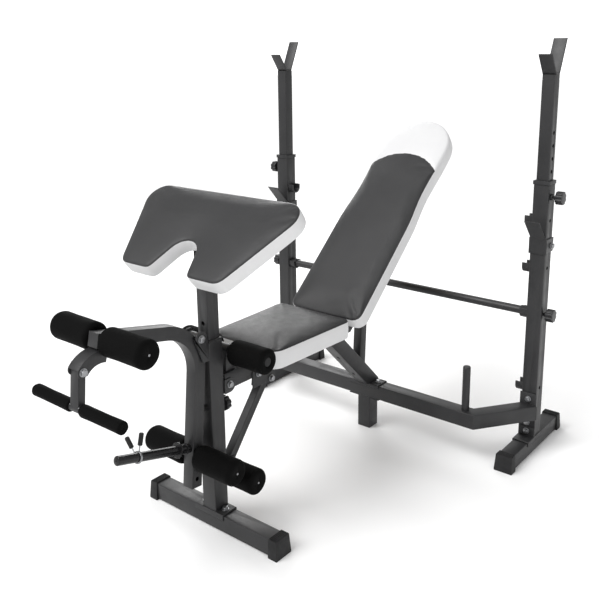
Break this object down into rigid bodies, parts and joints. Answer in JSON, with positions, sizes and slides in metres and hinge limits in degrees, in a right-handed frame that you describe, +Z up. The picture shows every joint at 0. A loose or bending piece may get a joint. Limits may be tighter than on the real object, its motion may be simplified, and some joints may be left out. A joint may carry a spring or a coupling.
{
  "type": "adjustable weight bench",
  "caption": "Weight bench with reclining back, telescoping bar rests, leg lever with foam rollers, arm-curl handle and sloping arm pad.",
  "frame": {"origin": "on the floor, in the middle of the bench's footprint", "axes": "+Z up; +Y from the leg lever to the bar rack; +X to the left of a person lying on the bench"},
  "size_m": [1.1886, 1.5994, 1.348],
  "materials": {
    "frame_coat": "satin speckled powder coat",
    "zinc": "zinc plated",
    "bright_steel": "polished",
    "cap_rubber": "matt",
    "foam": "soft closed-cell foam",
    "collar_plastic": "moulded",
    "knob_plastic": "moulded",
    "plywood": "plain board",
    "vinyl": "stitched vinyl"
  },
  "bodies": {
    "frame": {"front_foot": "frame_coat", "foot_caps": "cap_rubber", "front_post": "frame_coat", "post_bushing": "collar_plastic", "pivot_bracket": "frame_coat", "pivot_bolt": "zinc", "post_bumper": "cap_rubber", "seat_rail": "frame_coat", "rail_plates": "frame_coat", "brace": "frame_coat", "tube_saddles": "frame_coat", "cross_tube": "frame_coat", "storage_pegs": "frame_coat", "mid_leg": "frame_coat", "uprights": "frame_coat", "bar_cradles": "frame_coat", "upright_collars": "collar_plastic", "bar_catches": "frame_coat", "rear_feet": "frame_coat", "crossbar": "frame_coat", "crossbar_sleeves": "cap_rubber", "seat_board": "plywood", "seat_pad": "vinyl", "seat_brackets": "frame_coat", "hinge_bracket": "frame_coat", "thigh_bracket": "frame_coat", "frame_bolts": "zinc"},
    "backrest": {"back_frame": "frame_coat", "back_board": "plywood", "back_pad": "vinyl", "back_pins": "zinc"},
    "strut": {"strut": "frame_coat"},
    "leg_lever": {"lever_arm": "frame_coat", "weight_peg": "frame_coat", "curl_clevis": "frame_coat", "curl_pivot_bolt": "zinc"},
    "thigh_roller": {"thigh_axle_tube": "frame_coat", "thigh_rollers": "foam"},
    "foot_roller": {"foot_axle_tube": "frame_coat", "foot_rollers": "foam"},
    "ankle_roller": {"ankle_axle_tube": "frame_coat", "ankle_rollers": "foam"},
    "upper_roller": {"upper_axle_tube": "frame_coat", "upper_rollers": "foam"},
    "curl_handle": {"curl_bar": "bright_steel", "curl_grips": "foam"},
    "collar": {"spring_collar": "bright_steel"},
    "arm_rest": {"arm_post": "frame_coat", "arm_bracket": "frame_coat", "arm_board": "plywood", "arm_pad": "vinyl"},
    "left_rest": {"left_riser": "frame_coat", "left_hook": "frame_coat"},
    "right_rest": {"right_riser": "frame_coat", "right_hook": "frame_coat"},
    "left_height_pin": {"left_height_knob": "knob_plastic"},
    "right_height_pin": {"right_height_knob": "knob_plastic"},
    "left_bar_screw": {"left_bar_knob": "knob_plastic"},
    "right_bar_screw": {"right_bar_knob": "knob_plastic"},
    "arm_pin": {"arm_knob": "knob_plastic"}
  },
  "joints": [
    {"name": "backrest_incline", "type": "hinge", "parent": "frame", "child": "backrest", "pos_m": [0, 0.14488, 0.46088], "axis": [1, 0, 0], "range_deg": [-32, 0]},
    {"name": "strut_fold", "type": "hinge", "parent": "backrest", "child": "strut", "pos_m": [0, 0.36068, 0.57255], "axis": [1, 0, 0], "range_deg": [0, 122]},
    {"name": "lever_swing", "type": "hinge", "parent": "frame", "child": "leg_lever", "pos_m": [0, -0.415, 0.58], "axis": [1, 0, 0], "range_deg": [-60, 0]},
    {"name": "curl_handle_swing", "type": "hinge", "parent": "leg_lever", "child": "curl_handle", "pos_m": [0, -0.774, 0.609], "axis": [1, 0, 0], "range_deg": [-40, 50]},
    {"name": "collar_slide", "type": "slide", "parent": "leg_lever", "child": "collar", "axis": [0, -0.9608, 0.2773], "range_m": [-0.126, 0.058]},
    {"name": "arm_pad_height", "type": "slide", "parent": "frame", "child": "arm_rest", "axis": [0, 0, 1], "range_m": [-0.102, 0]},
    {"name": "left_rest_height", "type": "slide", "parent": "frame", "child": "left_rest", "axis": [0, 0, 1], "range_m": [-0.16, 0.08]},
    {"name": "right_rest_height", "type": "slide", "parent": "frame", "child": "right_rest", "axis": [0, 0, 1], "range_m": [-0.16, 0.08]},
    {"name": "left_height_pin_push", "type": "slide", "parent": "frame", "child": "left_height_pin", "axis": [-1, 0, 0], "range_m": [0, 0.006]},
    {"name": "right_height_pin_push", "type": "slide", "parent": "frame", "child": "right_height_pin", "axis": [1, 0, 0], "range_m": [0, 0.006]},
    {"name": "arm_pin_push", "type": "slide", "parent": "frame", "child": "arm_pin", "axis": [0, -1, 0], "range_m": [0, 0.005]},
    {"name": "left_bar_knob_spin", "type": "hinge", "parent": "frame", "child": "left_bar_screw", "pos_m": [0.53, 0.59, 0.48], "axis": [1, 0, 0], "continuous": true},
    {"name": "right_bar_knob_spin", "type": "hinge", "parent": "frame", "child": "right_bar_screw", "pos_m": [-0.53, 0.59, 0.48], "axis": [1, 0, 0], "continuous": true},
    {"name": "thigh_roller_spin", "type": "hinge", "parent": "frame", "child": "thigh_roller", "pos_m": [0, -0.303, 0.512], "axis": [1, 0, 0], "continuous": true},
    {"name": "foot_roller_spin", "type": "hinge", "parent": "frame", "child": "foot_roller", "pos_m": [0, -0.363, 0.189], "axis": [1, 0, 0], "continuous": true},
    {"name": "ankle_roller_spin", "type": "hinge", "parent": "leg_lever", "child": "ankle_roller", "pos_m": [0, -0.43839, 0.24923], "axis": [1, 0, 0], "continuous": true},
    {"name": "upper_roller_spin", "type": "hinge", "parent": "leg_lever", "child": "upper_roller", "pos_m": [0, -0.70176, 0.66359], "axis": [1, 0, 0], "continuous": true}
  ],
  "couplings": [
    {"joint": "strut_fold", "follows": "backrest_incline", "ratio": -3.8}
  ]
}
